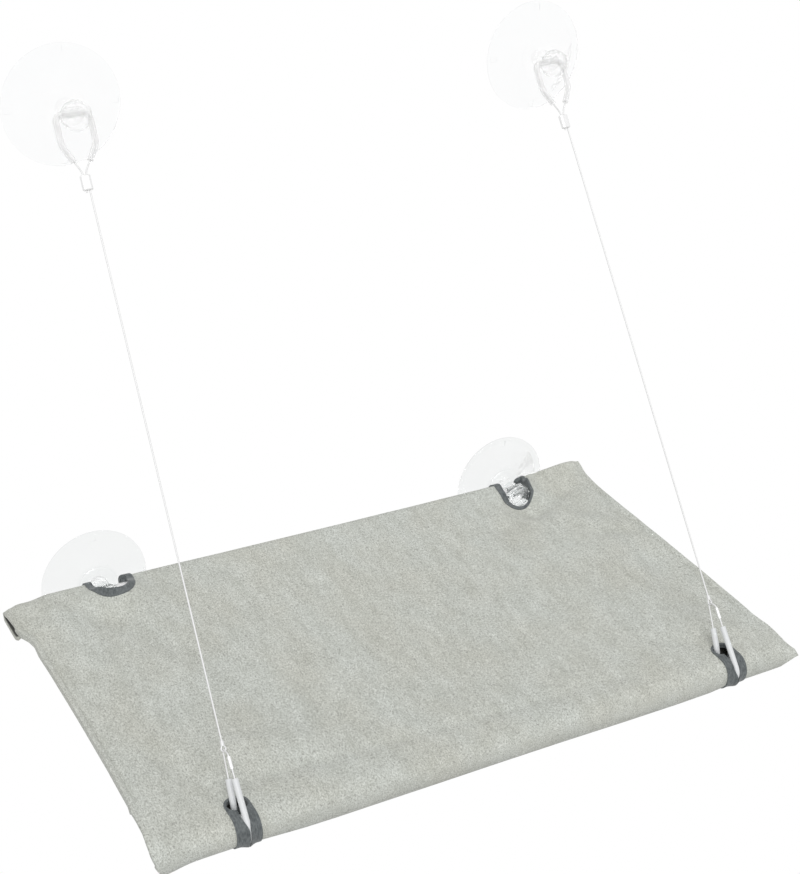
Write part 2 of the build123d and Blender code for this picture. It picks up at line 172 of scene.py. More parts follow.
def ramp(tree, source, stops):
    """Colour by value; a stop's colour may be one number for a grey."""
    node = add(tree, "ShaderNodeValToRGB", Fac=source)
    elements = node.color_ramp.elements
    while len(elements) < len(stops):
        elements.new(0.5)
    for element, (place, colour) in zip(elements, stops):
        element.position = place
        element.color = (*(colour if isinstance(colour, tuple) else (colour,) * 3), 1)
    return node.outputs["Color"]


def mix(tree, factor, a, b, kind="MIX"):
    """Colour a blended with colour b."""
    node = add(tree, "ShaderNodeMix", data_type="RGBA", blend_type=kind)
    for socket, value in ((0, factor), (6, a), (7, b)):
        feed(tree, node.inputs[socket], value)
    return node.outputs[2]


def multiply(tree, a, b):
    return mix(tree, 1.0, a, b, "MULTIPLY")


def new_group(name, inputs, outputs):
    """A node group with named sockets: its tree, what it is given and what it gives."""
    tree = bpy.data.node_groups.new(name, "ShaderNodeTree")
    for direction, sockets in (("INPUT", inputs), ("OUTPUT", outputs)):
        for label, kind in sockets.items():
            tree.interface.new_socket(label, in_out=direction, socket_type=f"NodeSocket{kind}")
    return tree, tree.nodes.new("NodeGroupInput").outputs, tree.nodes.new("NodeGroupOutput")


def fibre_group():
    """Noise drawn out along the cloth's threads."""
    tree, given, gives = new_group("fibres", {
        "Place": "Vector", "Stretch": "Vector", "Scale": "Float", "Detail": "Float", "Roughness": "Float",
    }, {"Fibres": "Float"})
    drawn = add(tree, "ShaderNodeMapping", Vector=given["Place"], Scale=given["Stretch"])
    noise = add(
        tree, "ShaderNodeTexNoise", Vector=drawn.outputs["Vector"],
        Scale=given["Scale"], Detail=given["Detail"], Roughness=given["Roughness"],
    )
    feed(tree, gives.inputs["Fibres"], noise.outputs["Fac"])
    return tree


def clear_film_group():
    """Clear soft plastic: a pale film where it is thin, near the glass, and clear beyond."""
    film_until, clear_from = -0.0058, -0.0074
    tree, given, gives = new_group("clear_film", {
        "Place": "Vector", "Film": "Color", "Clear": "Color", "Film Alpha": "Float", "Clear Alpha": "Float",
    }, {"Colour": "Color", "Alpha": "Float", "Ripple": "Float"})
    away = add(tree, "ShaderNodeSeparateXYZ", Vector=given["Place"]).outputs["Y"]
    depth = add(tree, "ShaderNodeMapRange", interpolation_type="SMOOTHSTEP")
    feed_all(tree, depth, {"Value": away, "From Min": film_until, "From Max": clear_from})
    noise = add(tree, "ShaderNodeTexNoise", Vector=given["Place"], Scale=90, Detail=2, Roughness=0.5)
    ripple = noise.outputs["Fac"]
    tint = mix(tree, depth.outputs[0], given["Film"], given["Clear"])
    tint = multiply(tree, tint, ramp(tree, ripple, [(0.3, 0.97), (0.7, 1)]))
    alpha = add(tree, "ShaderNodeMapRange")
    feed_all(tree, alpha, {
        "Value": depth.outputs[0], "To Min": given["Film Alpha"], "To Max": given["Clear Alpha"],
    })
    feed_all(tree, gives, {"Colour": tint, "Alpha": alpha.outputs[0], "Ripple": ripple})
    return tree


def scratch_group():
    """Fine scratches, a little darker than the surface's colour."""
    tree, given, gives = new_group(
        "fine_scratches", {"Place": "Vector", "Colour": "Color"}, {"Colour": "Color", "Scratches": "Float"},
    )
    noise = add(tree, "ShaderNodeTexNoise", Vector=given["Place"], Scale=1400, Detail=2, Roughness=0.6)
    scratches = noise.outputs["Fac"]
    tint = multiply(tree, given["Colour"], ramp(tree, scratches, [(0.3, 0.9), (0.7, 1)]))
    feed_all(tree, gives, {"Colour": tint, "Scratches": scratches})
    return tree


FIBRES, CLEAR_FILM, SCRATCHES = fibre_group(), clear_film_group(), scratch_group()


def place_group(tree, group, values):
    """Puts a node group into a material and gives its outputs."""
    node = add(tree, "ShaderNodeGroup", node_tree=group)
    feed_all(tree, node, values)
    return node.outputs


def fibres(tree, place, scale, detail, roughness, stretch=(1.0, 1.0, 1.0)):
    values = {"Place": place, "Stretch": stretch, "Scale": scale, "Detail": detail, "Roughness": roughness}
    return place_group(tree, FIBRES, values)["Fibres"]


def new_material(name):
    """A material: itself, its node tree, its shader and the place on the object."""
    material = bpy.data.materials.new(name)
    material.use_nodes = True
    tree = material.node_tree
    place = add(tree, "ShaderNodeTexCoord").outputs["Object"]
    return material, tree, tree.nodes["Principled BSDF"], place


def set_bump(tree, shader, height, distance, strength):
    node = add(tree, "ShaderNodeBump", Strength=strength, Distance=distance, Height=height)
    feed(tree, shader.inputs["Normal"], node.outputs["Normal"])


def felt_material():
    """Felt of mixed light and dark fibres, with sparse dark flecks and a hairy surface, and painted shade
    inside the pockets.
    """
    material, tree, shader, place = new_material("felt")
    hairs = fibres(tree, place, scale=1100, detail=3, roughness=0.75, stretch=(1.0, 0.55, 1.0))
    clouds = fibres(tree, place, scale=120, detail=3, roughness=0.65, stretch=(1.0, 0.3, 1.0))
    patches = fibres(tree, place, scale=22, detail=2, roughness=0.5, stretch=(1.0, 0.7, 1.0))
    flecks = fibres(tree, place, scale=950, detail=1, roughness=0.5, stretch=(1.0, 0.6, 1.0))
    colour = ramp(tree, hairs, [
        (0.3, (0.345, 0.35, 0.32)), (0.5, (0.535, 0.55, 0.51)), (0.7, (0.725, 0.74, 0.7)),
    ])
    colour = multiply(tree, colour, ramp(tree, clouds, [(0.3, (0.9, 0.9, 0.885)), (0.7, 1.07)]))
    shade = ramp(tree, patches, [(0.35, (0.98, 0.97, 0.95)), (0.65, (1.01, 1.02, 1.025))])
    colour = multiply(tree, colour, shade)
    colour = mix(tree, ramp(tree, flecks, [(0.59, 0), (0.72, 0.9)]), colour, (0.32, 0.32, 0.295))
    # Painted shade: inside the pockets, where little light reaches, the colour is darkened almost to black
    inside = add(tree, "ShaderNodeAttribute", attribute_name="inside").outputs["Fac"]
    colour = mix(tree, inside, colour, (0.07, 0.07, 0.065))
    feed_all(tree, shader, {
        "Base Color": colour, "Roughness": 0.95, "Sheen Weight": 0.15, "Specular IOR Level": 0.2,
    })
    set_bump(tree, shader, hairs, distance=0.0007, strength=0.6)
    return material


def tape_material():
    """Dark woven tape."""
    material, tree, shader, place = new_material("tape")
    threads = fibres(tree, place, scale=900, detail=2, roughness=0.6, stretch=(1.0, 0.4, 0.4))
    wear = fibres(tree, place, scale=150, detail=2, roughness=0.5)
    colour = ramp(tree, threads, [(0.3, (0.058, 0.068, 0.071)), (0.7, (0.153, 0.168, 0.171))])
    colour = multiply(tree, colour, ramp(tree, wear, [(0.3, 0.85), (0.7, 1.12)]))
    feed_all(tree, shader, {"Base Color": colour, "Roughness": 0.8, "Sheen Weight": 0.2})
    set_bump(tree, shader, threads, distance=0.0004, strength=0.5)
    return material


def clear_material(name, film, clear, alpha, transmission, roughness, ripple, rim=1.0):
    """Clear soft plastic, with painted shade that darkens its colour by the rim's share where it is seen
    edge-on.
    """
    material, tree, shader, place = new_material(name)
    look = place_group(tree, CLEAR_FILM, {
        "Place": place, "Film": film, "Clear": clear, "Film Alpha": alpha[0], "Clear Alpha": alpha[1],
    })
    # Painted shade: the colour grows darker towards the rims that are seen edge-on
    facing = add(tree, "ShaderNodeLayerWeight", Blend=0.5).outputs["Facing"]
    edge = ramp(tree, facing, [(0.72, 1), (0.95, rim)])
    feed_all(tree, shader, {
        "Base Color": multiply(tree, look["Colour"], edge), "Alpha": look["Alpha"],
        "Transmission Weight": transmission, "Roughness": roughness, "IOR": 1.4,
    })
    set_bump(tree, shader, look["Ripple"], distance=ripple, strength=0.4)
    return material


def hard_material(name, colour, metallic, roughness):
    """Metal or hard plastic with fine scratches."""
    material, tree, shader, place = new_material(name)
    look = place_group(tree, SCRATCHES, {"Place": place, "Colour": colour})
    feed_all(tree, shader, {"Base Color": look["Colour"], "Metallic": metallic, "Roughness": roughness})
    set_bump(tree, shader, look["Scratches"], distance=0.0001, strength=0.3)
    return material


MATERIALS = {
    "felt": felt_material(),
    "binding_tape": tape_material(),
    "clear_vinyl": clear_material(
        "clear_vinyl", film=(0.74, 0.77, 0.765), clear=(0.93, 0.95, 0.945),
        alpha=(0.28, 1.0), transmission=0.9, roughness=0.04, ripple=0.0006, rim=0.45,
    ),
    # Paler copy of clear_vinyl for the upper cups: painted light
    "clear_vinyl_upper": clear_material(
        "clear_vinyl_upper", film=(0.94, 0.955, 0.96), clear=(0.98, 0.985, 0.985),
        alpha=(0.25, 0.3), transmission=0.9, roughness=0.1, ripple=0.0006,
    ),
    "clear_hose": clear_material(
        "clear_hose", film=(0.8, 0.815, 0.825), clear=(0.8, 0.815, 0.825),
        alpha=(1.0, 1.0), transmission=0.12, roughness=0.35, ripple=0.0002,
    ),
    # Paler copy of clear_hose for the upper hoses: painted light
    "clear_hose_upper": clear_material(
        "clear_hose_upper", film=(0.99, 0.99, 0.99), clear=(0.99, 0.99, 0.99),
        alpha=(0.55, 0.55), transmission=0.35, roughness=0.35, ripple=0.0002,
    ),
    "wire": hard_material("wire", (0.78, 0.78, 0.78), metallic=0.2, roughness=0.4),
    "pressed_metal": hard_material("pressed_metal", (0.88, 0.88, 0.88), metallic=0.5, roughness=0.35),
    "rod_steel": hard_material("rod_steel", (0.8, 0.8, 0.8), metallic=0.6, roughness=0.35),
    "tube_steel": hard_material("tube_steel", (0.8, 0.8, 0.8), metallic=0.6, roughness=0.35),
    "corner_plastic": hard_material("corner_plastic", (0.05, 0.05, 0.055), metallic=0.0, roughness=0.5),
}


def dress(mesh, material):
    """Gives a mesh one of the finishes."""
    mesh.materials.clear()
    mesh.materials.append(MATERIALS[material])


for part in frame["record"]["subparts"]:
    # The upper cups and their hoses, of the same plastic as the lower ones, get paler copies of its colour:
    # painted light
    upper = "_upper" if part["node"].startswith(("upper_cup", "upper_hose")) else ""
    dress(nodes[part["node"]].data, part["material_slot"] + upper)


# ---- the cloth's path round the frame --------------------------------------

# Steps in mm, and over how many points the path and the open ends are rounded
ARC_STEP, LINE_STEP, PATH_STEP, ROUNDED_OVER = 0.4, 0.5, 0.25, 9
END_POINTS, END_ROUNDED_OVER = 200, 11


def sheet_line(out):
    """Point of the cloth's flat part, on its inner face."""
    return (out, (BACK_INNER + (out - BACK_ROUND) * LEAN) / sqrt(1 - LEAN**2))


def arc_points(centre, radius, start, end, count=0):
    """Points along an arc with both its ends, close together unless a count is given."""
    count = count or max(3, int(abs(end - start) * radius / ARC_STEP)) + 1
    return [
        (centre[0] + radius * cos(angle), centre[1] + radius * sin(angle))
        for angle in np.linspace(start, end, count)
    ]


def line_points(a, b):
    """Points along a straight line with both its ends."""
    steps = max(1, int(hypot(b[0] - a[0], b[1] - a[1]) / LINE_STEP))
    return [(a[0] + (b[0] - a[0]) * i / steps, a[1] + (b[1] - a[1]) * i / steps) for i in range(steps + 1)]


def run_along(path):
    """Length along a line at each of its points."""
    return np.concatenate([[0], np.cumsum(np.hypot(*np.diff(path, axis=0).T))])


def at_places(path, places):
    """The line's points at the given lengths along it."""
    run = run_along(path)
    return np.stack([np.interp(places, run, path[:, i]) for i in (0, 1)], 1)


def rounded(path, over):
    """The line with its corners rounded over that odd number of points."""
    kernel = np.hanning(over)
    kernel /= kernel.sum()
    padded = np.pad(path, ((over // 2, over // 2), (0, 0)), mode="edge")
    return np.stack([np.convolve(padded[:, i], kernel, "valid") for i in (0, 1)], 1)


def outward(path, *run):
    """Direction square to the line at each of its points."""
    tangent = np.gradient(path, *run, axis=0)
    tangent /= np.linalg.norm(tangent, axis=1)[:, None]
    return np.stack([-tangent[:, 1], tangent[:, 0]], 1)


def cloth_path():
    """Inner face of the cloth in the section, from the back seam round both folds to the front seam."""
    lean = asin(LEAN)
    back_end, front_end = sheet_line(BACK_SEAM - SEAM_END), sheet_line(FRONT_SEAM + SEAM_END)
    down = atan2(-back_end[1], -back_end[0])
    back_touch = down + pi / 2 - asin(BACK_INNER / hypot(*back_end))
    away = (front_end[0] - BAR, front_end[1])
    front_touch = atan2(away[1], away[0]) - 3 * pi / 2 + asin(BAR_INNER / hypot(*away))
    points = line_points(sheet_line(BACK_SEAM), back_end)
    points += arc_points((0, 0), BACK_INNER, back_touch - 2 * pi if back_touch > 0 else back_touch, -pi / 2)
    points += arc_points((BACK_ROUND, 0), BACK_INNER, -pi / 2, -3 * pi / 2 + lean)
    points += arc_points((BAR, 0), BAR_INNER, pi / 2 + lean, front_touch)
    points += line_points(front_end, sheet_line(FRONT_SEAM))
    dense = [points[0]]
    for point in points[1:]:
        if hypot(point[0] - dense[-1][0], point[1] - dense[-1][1]) > MERGE_WITHIN:
            dense += line_points(dense[-1], point)[1:]
    dense = np.array(dense)
    path = at_places(dense, np.arange(0, run_along(dense)[-1], PATH_STEP))
    round_path = rounded(path, ROUNDED_OVER)
    ends = ROUNDED_OVER // 2
    round_path[:ends], round_path[-ends:] = path[:ends], path[-ends:]
    run = run_along(round_path)
    return run, round_path, outward(round_path, run)


RUN, PATH, NORMAL = cloth_path()
LENGTH = float(RUN[-1])
TOP_START = int(np.argmin(PATH[:, 0]))
TOP_END = int(np.argmax(PATH[:, 0]))


def run_at(out, under=False):
    """Place along the cloth where its path is at that distance out, on top or underneath."""
    if not under:
        return float(np.interp(out, PATH[TOP_START : TOP_END + 1, 0], RUN[TOP_START : TOP_END + 1]))
    if out < BAR / 2:
        return float(np.interp(-out, -PATH[: TOP_START + 1, 0], RUN[: TOP_START + 1]))
    return float(np.interp(-out, -PATH[TOP_END:, 0], RUN[TOP_END:]))


def fold_run(degrees):
    """Place along the cloth at an angle round the front fold, from its top."""
    return run_at(BAR) + BAR_INNER * radians(degrees)


def fold_ramp(first, last):
    """The stretch of cloth between two angles round the front fold."""
    return fold_run(first), fold_run(last)


# ---- the cloth's open ends, creases and pulls, read from the photograph -----

BACK_END, FRONT_START = run_at(34), run_at(225)


def end_path(points, start, end):
    """The inner line of an open pocket end, spread over its share of the cloth."""
    points = np.array(points, float)
    even = np.linspace(0, run_along(points)[-1], END_POINTS)
    path = rounded(at_places(points, even), END_ROUNDED_OVER)
    return start + even / even[-1] * (end - start), path, outward(path)


BACK_LEFT = end_path([
    (26, -1.0), (22, -3.6), (20, -4.5), (-4.5, -4.9),
    *arc_points((-6.4, -3.9), 1.0, -pi / 2, -3 * pi / 2),
    (-4, -2.6), (0, -0.9), (6, 0.9), (13, 2.4), (20.5, 3.7), sheet_line(34),
], 0, BACK_END)
BACK_RIGHT = end_path([
    (20.5, 1.6), (10, -0.4), (0, 1.2),
    *arc_points((-7.5, 3.4), 1.3, -pi / 2, -3 * pi / 2),
    (8, 3.6), (20.5, 3.9), sheet_line(34),
], 0, BACK_END)
FRONT_LEFT = end_path([
    sheet_line(225), (250, 7.2), (262, 5.2),
    *arc_points((274.0, 1.6), 0.25, pi / 2, -pi / 2),
    (262, 4.7), (250, 6.7), (229, 7.3),
], FRONT_START, LENGTH)
FRONT_RIGHT = end_path([
    sheet_line(225), (250, 7.6), (262, 6.6),
    *arc_points((273.2, 4.8), 0.45, pi / 2, -pi / 2),
    (262, 5.2), (250, 5.2), (229, 7.0),
], FRONT_START, LENGTH)
# Line, side, ramp along the shelf over which the cloth turns to that line, whether at the back
OPEN_ENDS = (
    (BACK_LEFT, -1, (243, 256), True),
    (BACK_RIGHT, 1, (242, 253), True),
    (FRONT_LEFT, -1, (247, 254.5), False),
    (FRONT_RIGHT, 1, (247, 254.5), False),
)

# Where the cloth's ends lie along the shelf, by the distance out from the rod
LEFT_END = (
    (
        -11, -7, -4, 24, 32, 37, 45, 56, 78, 110, 150,
        186, 205, 222, 230, 239, 250, 258, 266, 272, 278,
    ),
    (
        254, 254.5, 255, 255, 253.5, 250.5, 248.8, 249.6, 248.8, 248.5, 248.4,
        248.4, 248.9, 249.2, 250.5, 250.2, 250.5, 251.3, 251.8, 251.0, 249.0,
    ),
)
RIGHT_END = (
    (
        -11, -6, 0, 8, 20, 27, 37, 52, 66, 81, 95, 110,
        124, 150, 164, 190, 215, 227, 236, 241, 264, 270, 278,
    ),
    (
        251.3, 251.6, 251.4, 250.0, 248.5, 247.9, 247.6, 248.0, 248.5, 249.4, 249.6, 250.1,
        250.3, 251.0, 251.6, 251.8, 251.8, 251.5, 252.6, 253.6, 253.5, 254.3, 259.2,
    ),
)
# Where the pull on the ends starts along the shelf, by the distance out, and how it grows
PULL_FROM = ((-10, 18, 34, 222, 238, 280), (241, 241, 200, 200, 241, 241))
PULL_POWER = 1.5
# The under side of the front pocket ends this much short of its top; angles round the fold
UNDER_SHORT, UNDER_RAMP = 3.0, (120, 170)

# Sag: between ramps beside the bars, over the width between the slots; and over the whole depth
PLAIN_HALF_WIDTH = 190
BAR_SAG, BAR_SAG_STARTS, BAR_SAG_ENDS = 1.6, (5, 50), (215, 250)
DEPTH_SAG, DEPTH_SAG_START, DEPTH_SAG_REACH, DEPTH_SAG_HALF_WIDTH = 2.0, 5, 245, 262
# How far the front pocket hangs below the bar, from left to right; angles round the fold
HANG_RAMP = (40, 110)
FRONT_HANG = (
    (-255, -235, -190, -150, -125, -100, -50, 0, 50, 100, 150, 180, 200, 235, 255),
    (0.6, 0.4, 0.2, 2.7, 3.2, 3.1, 3.1, 2.9, 3.0, 3.6, 3.7, 3.1, 0.7, 0.4, -0.2),
)
# The top layer: the length over which it starts and the angles over which it ends, and how near
# a seam the under layer goes with it
TOP_RISE, TOP_FALL, BACK_SEAM_REACH, FRONT_SEAM_REACH = 6, (20, 70), 8, 9
# Thinning of the stretched felt: share, end over the rod, start and angles round the bar
THINNING, THIN_BACK, THIN_FRONT, THIN_ENDS = 0.35, 0.7, 245, (20, 60)
# Slight unevenness of the sheet: height, and the wave's steps along the shelf and out
RIPPLE, RIPPLE_ALONG, RIPPLE_OUT = 0.35, (11.0, 60.0), (37.0, 23.0)
# Inside of the pockets, whose felt colour is darkened as painted shade: how far out, how far from the seams and
# the cloth's ends, and the height up to which a point belongs to the inner face
SHADED_BACK, SHADED_FRONT, SHADED_SEAM, SHADED_END, SHADED_FRONT_HALF = 20, 238, 3, 0.8, 235
INNER_FACE = 0.1

# Creases and dips of the stretched sheet: from (along, out) to (along, out), width, height
CREASES = (
    ((-180, 233), (-122, 235), 7, -2.2),
    ((-122, 236), (-63, 239), 5, -1.3),
    ((-63, 239), (12, 243), 5, -1.2),
    ((12, 243), (57, 246), 5, -1.2),
    ((57, 246), (120, 248), 5, -1.0),
    ((-216, 190), (-200, 228), 8, -2.2),
    ((-180, 200), (-120, 212), 12, 2.4),
    ((232, 135), (222, 192), 13, -3.6),
    ((137, 50), (182, 40), 9, -2.4),
    ((182, 40), (222, 19), 8, -2.8),
    ((200, 62), (228, 76), 9, 1.8),
    ((205, 84), (240, 96), 7, -1.8),
    ((-192, 34), (-160, 84), 14, -2.8),
    ((-222, 20), (-210, 90), 12, 1.4),
    ((28, 46), (18, 88), 4, -1.2),
    ((-30, 60), (-42, 120), 5, -0.7),
    ((90, 70), (84, 130), 5, -0.7),
    ((205, 222), (226, 236), 8, 1.8),
    ((150, 215), (188, 236), 7, -1.2),
    ((-244, 40), (-238, 120), 10, -0.9),
    ((-100, 150), (-88, 205), 6, -0.7),
)

# The left notch's flap, which stands up before the cup's head: lift, reach from its middle, start
FLAP_AT = (-176, 10)
FLAP_LIFT, FLAP_REACH, FLAP_STARTS = 6.8, (13, 32), (-3, 14)
FLAP_RIM_LIFT, FLAP_RIM_REACH, FLAP_RIM_STARTS, FLAP_RIM_AT = 3.2, (9, 15), (2, 12), (-180, 14)
# Moves beside the notches, one after the other: way, distance, place and width along the shelf,
# the ramps out from the rod between which the cloth moves, and whether the top layer moves alone
NOTCH_MOVES = (
    ("along", 3.4, (-163, 11), None, (-1, 9), True),
    ("up", -6.2, (177, 20), (5, 16), (26, 52), False),
    ("up", 3.5, (197, 9), None, (-2, 12), True),
    ("up", 6.0, (189, 6), (-2, 5), (16, 27), True),
    ("along", 4.0, (183, 22), None, (-6, 6), True),
    ("along", -4.0, (183, 22), (13, 29), (34, 70), True),
)
# Back corners, of which the left one hangs and the right one stands up: lift, side, the ramps
# along the shelf between which it moves, and the ramp out from the rod where that ends
CORNER_LIFTS = (
    (-2.7, -1, (219, 236), (246, 252), (-7, 3)),
    (4.0, 1, (200, 216), (242, 253), (-9, 14)),
    (2.4, 1, (212, 240), None, (-9, 6)),
)
# The left front corner, which hangs: drop, place and width, angles round the fold
FRONT_CORNER_HANG, FRONT_CORNER_AT, FRONT_CORNER_RAMP = 3.2, (-243, 11), (10, 60)
# Stitched lines along the side hems
STITCH_DEPTH, STITCH_INSET, STITCH_WIDTH = 1.3, 5.6, 1.3
STITCH_STARTS, STITCH_ENDS = (20, 26), (228, 236)

# Closing of the front slots: angles round the fold over which each closes, and both open again;
# how far beside the slot the cloth rises over the hose, and how far it moves in; its height there
SLOT_CLOSES = {"left": (18, 62), "right": (50, 90)}
SLOT_OPENS = (120, 150)
CLOSED_WIDTH, CLOSED_SHIFT, SHIFT_WIDTH = (1.8, 6.5), 2.1, (2.3, 8.6)
CLOSED_HEIGHT, CLOSED_THICKNESS = 4.35, 0.75


def crease(x, out, start, end, width, height):
    """Lift of the cloth by one crease, rounded across and at its ends."""
    along = np.array(end, float) - np.array(start, float)
    share = ((x - start[0]) * along[0] + (out - start[1]) * along[1]) / (along @ along)
    share = np.clip(share, 0, 1)
    away = np.hypot(x - start[0] - share * along[0], out - start[1] - share * along[1])
    return height * bump_at(away, 0, width)


def middle_share(x):
    """1 in the middle of the shelf, 0 at the slots and beyond."""
    return 1 - np.clip(x / PLAIN_HALF_WIDTH, -1, 1) ** 2


def closed_slit(x, s, t):
    """Share by which a front slot's two halves close over the hose, their height and their shift."""
    share = np.zeros_like(x)
    shift = np.zeros_like(x)
    for side in SIDES:
        away = x - SLOT_X[side]
        close = between(s, fold_ramp(*SLOT_CLOSES[side]), fold_ramp(*SLOT_OPENS))
        share = np.maximum(share, close * (1 - smooth(np.abs(away), *CLOSED_WIDTH)))
        shift -= np.sign(away) * CLOSED_SHIFT * close * (1 - smooth(np.abs(away), *SHIFT_WIDTH))
    height = CLOSED_HEIGHT + np.clip(t / (FELT + TAPE), 0, 1) * CLOSED_THICKNESS
    return share, height, shift


def cloth_point(x, s, t):
    """Places points of the flat cloth (along the shelf, along the cloth, thickness) round the frame."""
    share, height, shift = closed_slit(x, s, t)
    t = t * (1 - share) + height * share
    over_rod = between(s, falling=(BACK_END * THIN_BACK, BACK_END))
    over_bar = between(s, (FRONT_START, run_at(THIN_FRONT)), fold_ramp(*THIN_ENDS))
    t = t * (1 - THINNING * np.maximum(over_rod, over_bar) * middle_share(x))
    x = x + shift
    at = [np.interp(s, RUN, column) for column in (*PATH.T, *NORMAL.T)]
    for (run, path, normal), side, ramp_along, at_back in OPEN_ENDS:
        weight = np.where(s < BACK_END if at_back else s > FRONT_START, smooth(side * x, *ramp_along), 0)
        for i, column in enumerate((*path.T, *normal.T)):
            at[i] = at[i] * (1 - weight) + np.interp(s, run, column) * weight
    length = np.hypot(at[2], at[3])
    return x, at[0] + at[2] / length * t, at[1] + at[3] / length * t


def shape(x, out, up, s):
    """Moves the cloth's points to where the photographed cloth lies: sag, creases, corners."""
    x, up = x.copy(), up.copy()
    up -= BAR_SAG * middle_share(x) * between(out, BAR_SAG_STARTS, BAR_SAG_ENDS)
    depth = np.clip((out - DEPTH_SAG_START) / DEPTH_SAG_REACH, 0, 1)
    up -= DEPTH_SAG * np.sin(pi * depth) * (1 - (x / DEPTH_SAG_HALF_WIDTH) ** 2)
    up -= np.interp(x, *FRONT_HANG) * smooth(s, *fold_ramp(*HANG_RAMP))
    top = between(s, (RUN[TOP_START], RUN[TOP_START] + TOP_RISE), fold_ramp(*TOP_FALL))
    # Near the seams the layer underneath goes with the top one
    seams = np.maximum(bump_at(out, BACK_SEAM, BACK_SEAM_REACH), bump_at(out, FRONT_SEAM, FRONT_SEAM_REACH))
    layers = np.maximum(top, seams)
    for start, end, width, height in CREASES:
        up += layers * crease(x, out, start, end, width, height)
    wave = np.sin(x / RIPPLE_ALONG[0] + out / RIPPLE_OUT[0]) * np.sin(out / RIPPLE_OUT[1] - x / RIPPLE_ALONG[1])
    up += top * RIPPLE * wave
    near = np.hypot(x - FLAP_AT[0], out - FLAP_AT[1])
    up += FLAP_LIFT * between(near, falling=FLAP_REACH) * smooth(out, *FLAP_STARTS) * layers
    rim = between(near, falling=FLAP_RIM_REACH) * smooth(out, *FLAP_RIM_STARTS) * bump_at(x, *FLAP_RIM_AT)
    up += FLAP_RIM_LIFT * rim * top
    for way, distance, place, rising, falling, top_alone in NOTCH_MOVES:
        move = distance * bump_at(x, *place) * between(out, rising, falling) * (top if top_alone else 1)
        if way == "up":
            up += move
        else:
            x += move
    for lift, side, rising, falling, ending in CORNER_LIFTS:
        up += lift * between(side * x, rising, falling) * between(out, falling=ending)
    up -= FRONT_CORNER_HANG * bump_at(x, *FRONT_CORNER_AT) * smooth(s, *fold_ramp(*FRONT_CORNER_RAMP))
    panel = between(out, STITCH_STARTS, STITCH_ENDS)
    up -= STITCH_DEPTH * bump_at(np.abs(x), HALF_WIDTH - STITCH_INSET, STITCH_WIDTH) * panel
    start = np.interp(out, *PULL_FROM)
    for side, table in ((-1, LEFT_END), (1, RIGHT_END)):
        pull = HALF_WIDTH - np.interp(out, *table) + UNDER_SHORT * smooth(s, *fold_ramp(*UNDER_RAMP))
        share = np.clip((side * x - start) / (HALF_WIDTH - start), 0, 1)
        x -= side * pull * share**PULL_POWER
    return x, up


# ---- making the cloth ------------------------------------------------------


def bend(mesh):
    """Wraps a flat mesh (x along the shelf, y along the cloth, z its thickness) round the frame."""
    flat = np.empty(len(mesh.vertices) * 3)
    mesh.vertices.foreach_get("co", flat)
    along, s, t = (flat.reshape(-1, 3) / MM).T
    x, out, up = cloth_point(along, s, t)
    x, up = shape(x, out, up, s)
    world = np.array(ROD_AT) + np.outer(out, OUT) + np.outer(up, UP)
    world[:, 0] += x
    mesh.vertices.foreach_set("co", (world * MM).ravel())
    # The pockets' inner faces get the attribute inside, through which the felt's colour paints their shade
    away = np.abs(along)
    back = (s > SHADED_SEAM) & (s < run_at(SHADED_BACK)) & (away < HALF_WIDTH - SHADED_END)
    front = (s > run_at(SHADED_FRONT)) & (s < LENGTH - SHADED_SEAM) & (away < SHADED_FRONT_HALF)
    inside = (t < INNER_FACE) & (back | front)
    mesh.attributes.new("inside", "FLOAT", "POINT").data.foreach_set("value", inside.astype(np.float32))
    mesh.update()


def move_along(piece, distance):
    """Moves a flat piece along the shelf."""
    for vert in piece.data.vertices:
        vert.co.x += distance * MM


def thicken(bm, top):
    """Gives flat faces their thickness, up to that height in mm."""
    lifted = bmesh.ops.extrude_face_region(bm, geom=bm.faces[:])
    for item in lifted["geom"]:
        if isinstance(item, bmesh.types.BMVert):
            item.co.z = top * MM
    bmesh.ops.recalc_face_normals(bm, faces=bm.faces)


def cut_across(bm, at, square_to):
    """Adds edges where a plane crosses the mesh."""
    everything = bm.verts[:] + bm.edges[:] + bm.faces[:]
    bmesh.ops.bisect_plane(bm, geom=everything, plane_co=at, plane_no=square_to, dist=CUT_WITHIN)


def into_scene(name, bm):
    """Turns a bmesh into an object."""
    mesh = bpy.data.meshes.new(name)
    bm.to_mesh(mesh)
    bm.free()
    return link(name, mesh)


def finish_mesh(bm, mesh):
    """Faces outwards, shaded smooth but for the sharp edges."""
    bmesh.ops.recalc_face_normals(bm, faces=bm.faces)
    for face in bm.faces:
        face.smooth = True
    for edge in bm.edges:
        if len(edge.link_faces) == 2 and edge.calc_face_angle(0) > SHARP_EDGE:
            edge.smooth = False
    bm.to_mesh(mesh)
    bm.free()


def slab(name, half, start, end, bottom, top, cell, cuts=()):
    """Flat strip of cloth as a fine grid with thickness, with cuts along it."""
    bm = bmesh.new()
    columns, rows = max(1, round(2 * half / cell)), max(1, round((end - start) / cell))
    bmesh.ops.create_grid(bm, x_segments=columns, y_segments=rows, size=0.5)
    for vert in bm.verts:
        vert.co = Vector((vert.co.x * 2 * half, (vert.co.y + 0.5) * (end - start) + start, bottom)) * MM
    for cut in cuts:
        cut_across(bm, Vector((1, 0, 0)) * cut * MM, (1, 0, 0))
    thicken(bm, top)
    return into_scene(name, bm)


def prism(outline, bottom=CUTTER_BOTTOM, top=CUTTER_TOP):
    """A cutter: the outline, in flat mm, with thickness."""
    bm = bmesh.new()
    bm.faces.new([bm.verts.new((x * MM, y * MM, bottom * MM)) for x, y in outline])
    thicken(bm, top)
    return into_scene("cutter", bm)


